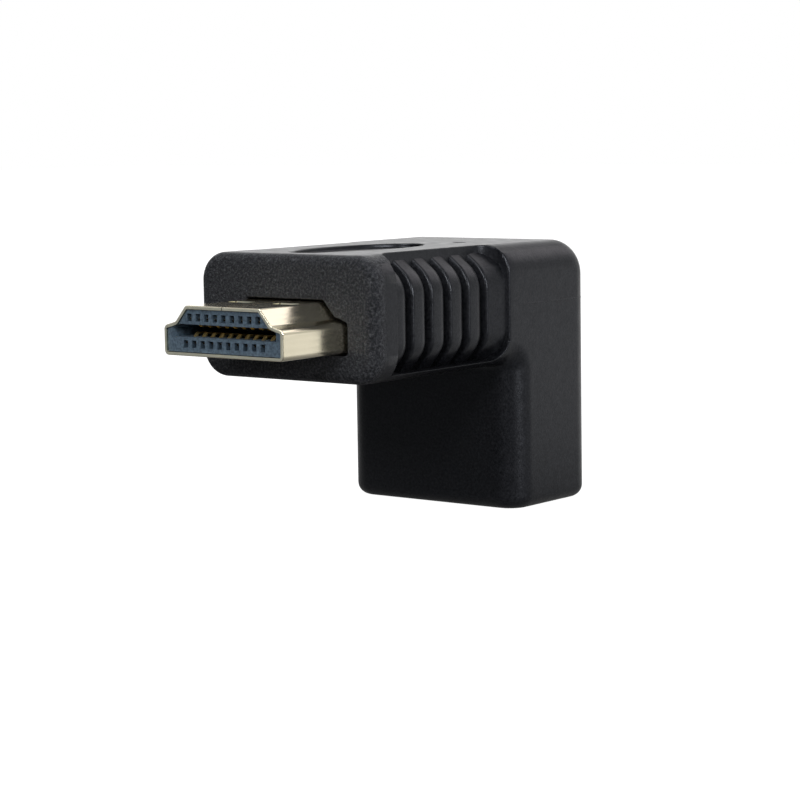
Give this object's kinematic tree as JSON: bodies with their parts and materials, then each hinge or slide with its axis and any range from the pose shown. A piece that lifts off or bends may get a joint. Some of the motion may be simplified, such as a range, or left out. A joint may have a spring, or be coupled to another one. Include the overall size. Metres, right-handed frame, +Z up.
{
  "type": "right angle digital video adapter",
  "caption": "Right angle video adapter: a ribbed moulded arm with a gold-plated plug, and a leg that hangs down from its rear end and holds the socket.",
  "frame": {"origin": "on the plug's axis, level with the arm's front face", "axes": "-Y is the way the plug points, +Z is up through the arm's top, the leg hangs towards -Z, X is the plug's width"},
  "size_m": [0.0206, 0.042, 0.0252],
  "materials": {
    "body_plastic": "fine spark-eroded texture",
    "inner_plastic": "plain moulded",
    "board_laminate": "solder mask",
    "plug_plating": "bright pale gold plating",
    "plug_block": "moulded, slightly satin",
    "socket_plating": "bright pale gold plating",
    "socket_block": "moulded, slightly satin",
    "contact_plating": "bright gold plating"
  },
  "bodies": {
    "root": {"outer_body": "body_plastic", "inner_mould": "inner_plastic", "circuit_board": "board_laminate", "plug_shell": "plug_plating", "plug_insulator": "plug_block", "socket_shell": "socket_plating", "socket_insulator": "socket_block", "plug_contact_01": "contact_plating", "plug_contact_02": "contact_plating", "plug_contact_03": "contact_plating", "plug_contact_04": "contact_plating", "plug_contact_05": "contact_plating", "plug_contact_06": "contact_plating", "plug_contact_07": "contact_plating", "plug_contact_08": "contact_plating", "plug_contact_09": "contact_plating", "plug_contact_10": "contact_plating", "plug_contact_11": "contact_plating", "plug_contact_12": "contact_plating", "plug_contact_13": "contact_plating", "plug_contact_14": "contact_plating", "plug_contact_15": "contact_plating", "plug_contact_16": "contact_plating", "plug_contact_17": "contact_plating", "plug_contact_18": "contact_plating", "plug_contact_19": "contact_plating", "socket_contact_01": "contact_plating", "socket_contact_02": "contact_plating", "socket_contact_03": "contact_plating", "socket_contact_04": "contact_plating", "socket_contact_05": "contact_plating", "socket_contact_06": "contact_plating", "socket_contact_07": "contact_plating", "socket_contact_08": "contact_plating", "socket_contact_09": "contact_plating", "socket_contact_10": "contact_plating", "socket_contact_11": "contact_plating", "socket_contact_12": "contact_plating", "socket_contact_13": "contact_plating", "socket_contact_14": "contact_plating", "socket_contact_15": "contact_plating", "socket_contact_16": "contact_plating", "socket_contact_17": "contact_plating", "socket_contact_18": "contact_plating", "socket_contact_19": "contact_plating"}
  },
  "joints": []
}
